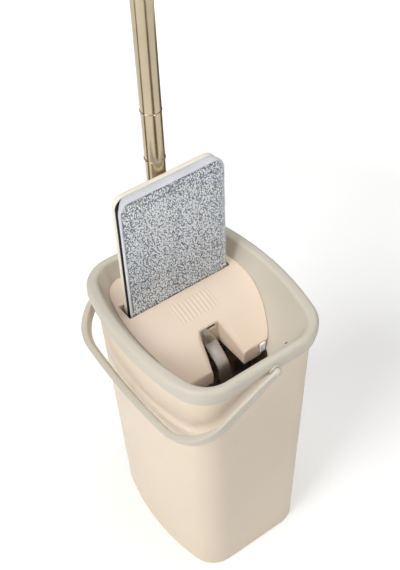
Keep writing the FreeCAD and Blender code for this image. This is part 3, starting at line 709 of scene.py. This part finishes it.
def tuft_tones(x, z, inset, seam):
    """One colour for each tuft: mostly white, some blue-grey and a few dark."""
    white = np.array([0.97, 0.98, 0.985])
    blue_grey = np.array([0.58, 0.64, 0.73])
    dark = np.array([0.12, 0.14, 0.18])
    pick = RNG.random(len(x))
    stripe = np.clip(np.sin(x / 2.3 + 0.4), 0, 1) * ramp(x, 14, 44)
    patches = 0.05 * np.sin(x / 9.0 + 1.0) + 0.05 * np.sin(z / 23.0 + x / 31.0)
    near_edge = inset < 9
    dark_share = 0.04 + 0.3 * patches + 0.50 * seam - 0.05 * near_edge
    grey_share = dark_share + 0.08 + patches + 0.25 * stripe - 0.08 * near_edge
    tone = np.where((pick < dark_share)[:, None], dark,
                    np.where((pick < grey_share)[:, None], blue_grey, white))
    tone = tone * RNG.uniform(0.86, 1.04, len(x))[:, None]
    return np.clip(tone, 0, 0.95)


def make_pile():
    """Chenille face: thousands of short looped tufts standing out of a crowned core."""
    front = pad_low[1]
    core = loft(half_x - CORE_INSET, half_z - CORE_INSET, PAD_CORNER - CORE_INSET,
                [(12, pad_high[1]), (0.8, pad_high[1]), (0.5, front + 3.2), (1.5, front + 2.2),
                 (3.5, front + 1.8), (12, front + 1.7)], (0, head_z))
    x, z, inset = tuft_places()
    seam_inset, seam_half, seam_span = 12.0, 1.4, 40
    seam = ramp(np.abs(inset - seam_inset), seam_half, 0) * (z > half_z - seam_span)
    tufts = tuft_points(x, z, inset, seam, front)
    count, size = len(x), len(TUFT)
    side_faces = (np.arange(count)[:, None, None] * size
                  + np.array(TUFT_FACES[:-2])[None]).reshape(-1, 4)
    end_faces = [tuple(index + start * size for index in face)
                 for start in range(count) for face in TUFT_FACES[-2:]]
    points, faces = merged(core, (tufts.tolist(), side_faces.tolist() + end_faces))
    item = build("mop_pad_pile", points, faces, "chenille_pile", "mop_head", "mop_pad")

    core_count = len(core[0])
    colours = np.ones((len(points), 4))
    colours[:core_count, :3] = (0.21, 0.23, 0.27)
    colours[core_count:, :3] = np.repeat(tuft_tones(x, z, inset, seam), size, axis=0)
    layer = item.data.color_attributes.new(TUFT_COLOUR, "FLOAT_COLOR", "POINT")
    layer.data.foreach_set("color", colours.ravel())


make_binding()
make_backing()
make_hook_layer()
make_pile()


# ------------------------------------------------------------------ leaf spring
def make_leaf():
    """Brushed steel leaf: full width in its arc, narrow where it passes through its window."""
    # y, z, left edge, right edge, and how far the edges curl down
    stations = [(-44, 256, -8, 8, 0), (-44, 275, -8, 8, 0), (-43.4, 284, -8, 8, 0.4),
                (-41.9, 291, -8, 8, 0.8), (-39.3, 297, -8, 8, 1.2), (-35.4, 301.9, -8, 8, 1.6),
                (-30, 306, -8, 8, 1.9), (-24, 310.1, -8, 8, 1.9), (-18.6, 314.4, -8, 8, 1.6),
                (-18.0, 317, -8, 7.2, 0.8), (-15.6, 331.5, -8, -1.5, 0.1),
                (-13.6, 334.2, -8, -2, 0), (-11, 334.8, -6, 0, 0), (-4, 335, -4, 2, 0),
                (6, 333.5, -3, 3, 0), (14, 329, -3, 3, 0), (20, 321, -3, 3, 0),
                (25.4, 309, -3, 3, 0)]
    half_thick, half_thick_at_edge = 0.4, 0.2
    rows = np.array(stations, float)
    fine = np.empty((2 * len(rows) - 1, rows.shape[1]))
    fine[0::2] = rows
    fine[1::2] = (rows[:-1] + rows[1:]) / 2
    across = np.linspace(-1, 1, 17)
    points = []
    for index, (y, z, low_x, high_x, curl) in enumerate(fine):
        along = fine[min(index + 1, len(fine) - 1), :2] - fine[max(index - 1, 0), :2]
        normal = np.array([-along[1], along[0]]) / np.hypot(*along)
        middle, half = (low_x + high_x) / 2, (high_x - low_x) / 2
        for side, places in ((1, across), (-1, across[::-1])):
            for share in places:
                thick = half_thick_at_edge if abs(share) == 1 else half_thick
                out = side * thick - curl * share ** 2
                points.append((middle + half * share, y + normal[0] * out, z + normal[1] * out))
    item = build("leaf_spring_blade", points, ring_faces(len(fine), 2 * len(across)),
                 "leaf_steel", None, "leaf_spring")
    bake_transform(item)


make_leaf()


# ------------------------------------------------------------------ eased mouldings
for node, voxel in (("swivel_yoke", 0.5), ("hinge_bracket", 0.5), ("pole_socket", 0.5),
                    ("hanging_cap", 0.5), ("latch_tab", 0.3),
                    ("bail_peg_front", 0.35), ("bail_peg_back", 0.35), ("grip", 0.6)):
    softened(node, voxel, 4)
softened("spring_bar", 0.5, 4, "dark_plug")


# ------------------------------------------------------------------ vent mark on the collar
def dome(name, centre, normal, radius, height, slot, body):
    """A low round button standing on a surface."""
    turn = Vector(normal).normalized().to_track_quat("Z", "Y").to_matrix()
    foot = 0.4
    shares = (1.0, 0.96, 0.8, 0.5, 0.15)
    sides = 20
    points = []
    for share in shares:
        rise = height * math.sqrt(1 - share ** 2) if share < 1 else -foot
        for step in range(sides):
            angle = 2 * math.pi * step / sides
            local = (radius * share * math.cos(angle), radius * share * math.sin(angle), rise)
            points.append(Vector(centre) + turn @ Vector(local))
    build(name, points, ring_faces(len(shares), sides), slot, body)


dome("collar_vent_plug", (35.4, -101.4, 365.0), (0, 0.9, 0.43), 1.7, 0.35, "dark_plug", "bucket")


# ------------------------------------------------------------------ floor, lights and camera
def plain(name, colour, rough, glow=0.0):
    """Plain paper or card with a barely visible drift in its tone, and a glow of its own."""
    recipe = Recipe(name, Roughness=rough, Emission_Color=(1.0, 1.0, 1.0, 1.0),
                    Emission_Strength=glow)
    recipe.feed("Base Color", recipe.blend(recipe.spread(recipe.noise(3.0, 2.0), 0.0, 1.0),
                                           shade(colour, 0.99), shade(colour, 1.0)))
    return recipe.material


def level_card(name, low, high, height, finish):
    """A flat level rectangle that belongs to the stage."""
    mesh = bpy.data.meshes.new(name)
    mesh.from_pydata([(low[0], low[1], height), (high[0], low[1], height),
                      (high[0], high[1], height), (low[0], high[1], height)], [], [(0, 1, 2, 3)])
    mesh.materials.append(finish)
    item = bpy.data.objects.new(name, mesh)
    bpy.context.scene.collection.objects.link(item)
    return item


def hidden_from(item, *rays):
    """Keep a piece of the stage out of the sight of some kinds of ray."""
    for ray in rays:
        setattr(item, "visible_" + ray, False)


level_card("floor", (-6.0, -6.0), (6.0, 6.0), -0.0005,
           plain("floor_paper", (0.98, 0.98, 0.98), 0.9, 0.22))
brown = plain("brown_card", (0.20, 0.15, 0.09), 0.9)
for name, low, high in (("reflection_card_right", (0.30, -0.1), (1.1, 1.3)),
                        ("reflection_card_front", (-0.25, -1.6), (0.12, -0.45)),
                        ("reflection_card_left", (-1.5, 0.25), (-0.3, 0.5))):
    hidden_from(level_card(name, low, high, 0.004, brown), "camera", "diffuse", "shadow")


def make_backdrop():
    """A pale paper sweep far behind everything, which fades in over the floor towards its edge."""
    fade_start, fade_end, above_floor = 0.7, 1.8, 0.001
    rings = ((fade_start, above_floor), (fade_end, above_floor), (11.0, above_floor),
             (13.0, 0.8), (14.0, 3.0), (14.0, 10.0))
    sides = 64
    angles = [2 * math.pi * step / sides for step in range(sides)]
    points = [(reach * math.cos(angle), reach * math.sin(angle), height)
              for reach, height in rings for angle in angles]
    recipe = Recipe("backdrop_paper", Base_Color=(0.9, 0.9, 0.9, 1.0), Roughness=0.9,
                    Emission_Color=(1.0, 1.0, 1.0, 1.0), Emission_Strength=1.0)
    distance = recipe.add("ShaderNodeVectorMath", {0: recipe.place}, operation="LENGTH").outputs[1]
    recipe.feed("Alpha", recipe.spread(distance, 0.0, 1.0, fade_start, fade_end))
    mesh = bpy.data.meshes.new("backdrop")
    mesh.from_pydata(points, [], ring_faces(len(rings), sides, close_ends=False))
    mesh.materials.append(recipe.material)
    item = bpy.data.objects.new("backdrop", mesh)
    bpy.context.scene.collection.objects.link(item)
    hidden_from(item, "diffuse", "glossy", "transmission", "shadow")


make_backdrop()


def studio_light(name, kind, spot, aim, watts, **settings):
    """A lamp at a spot, turned towards the point it aims at. Places are in metres."""
    light = bpy.data.lights.new(name, kind)
    light.energy = watts
    for key, value in settings.items():
        setattr(light, key, value)
    item = bpy.data.objects.new(name, light)
    item.location = spot
    item.rotation_euler = (Vector(aim) - Vector(spot)).to_track_quat("-Z", "Y").to_euler()
    bpy.context.scene.collection.objects.link(item)


studio_light("key", "AREA", (-2.75, -0.35, 2.85), (0, 0, 0.25), 88, size=1.8)
studio_light("overhead", "AREA", (0.7, -0.2, 4.4), (0, 0, 0.3), 92, size=3.0)
studio_light("pad_lamp", "SPOT", (-0.3, -2.5, 0.9), (0.0, 0.04, 0.505), 190,
             spot_size=math.radians(6.8), spot_blend=0.7, shadow_soft_size=0.2)

world = bpy.data.worlds.new("studio")
world.use_nodes = True
background = world.node_tree.nodes["Background"]
background.inputs["Color"].default_value = (1.0, 0.99, 0.98, 1.0)
background.inputs["Strength"].default_value = 0.12
bpy.context.scene.world = world
bpy.context.scene.view_settings.view_transform = "Standard"


def add_camera():
    """The photo's view: aimed just above the middle of the rim. Lengths in metres, lens in mm."""
    azimuth, elevation, roll = (math.radians(angle) for angle in (-34.05, 46.06, -2.752))
    distance, raised = 1.047, 0.013903
    rim_centre = Vector((0.0, 0.0, 0.370))
    back = Vector((math.sin(azimuth) * math.cos(elevation),
                   -math.cos(azimuth) * math.cos(elevation), math.sin(elevation)))
    level = Vector((math.cos(azimuth), math.sin(azimuth), 0.0))
    rise = back.cross(level)
    right = level * math.cos(roll) + rise * math.sin(roll)
    up = rise * math.cos(roll) - level * math.sin(roll)
    spot = rim_centre + back * distance + up * raised
    lens = bpy.data.cameras.new("camera")
    lens.sensor_fit = "VERTICAL"
    lens.sensor_height = 36.0
    lens.lens = 61.832
    camera = bpy.data.objects.new("camera", lens)
    camera.matrix_world = Matrix.LocRotScale(spot, Matrix((right, up, back)).transposed(), None)
    bpy.context.scene.collection.objects.link(camera)
    bpy.context.scene.camera = camera


add_camera()
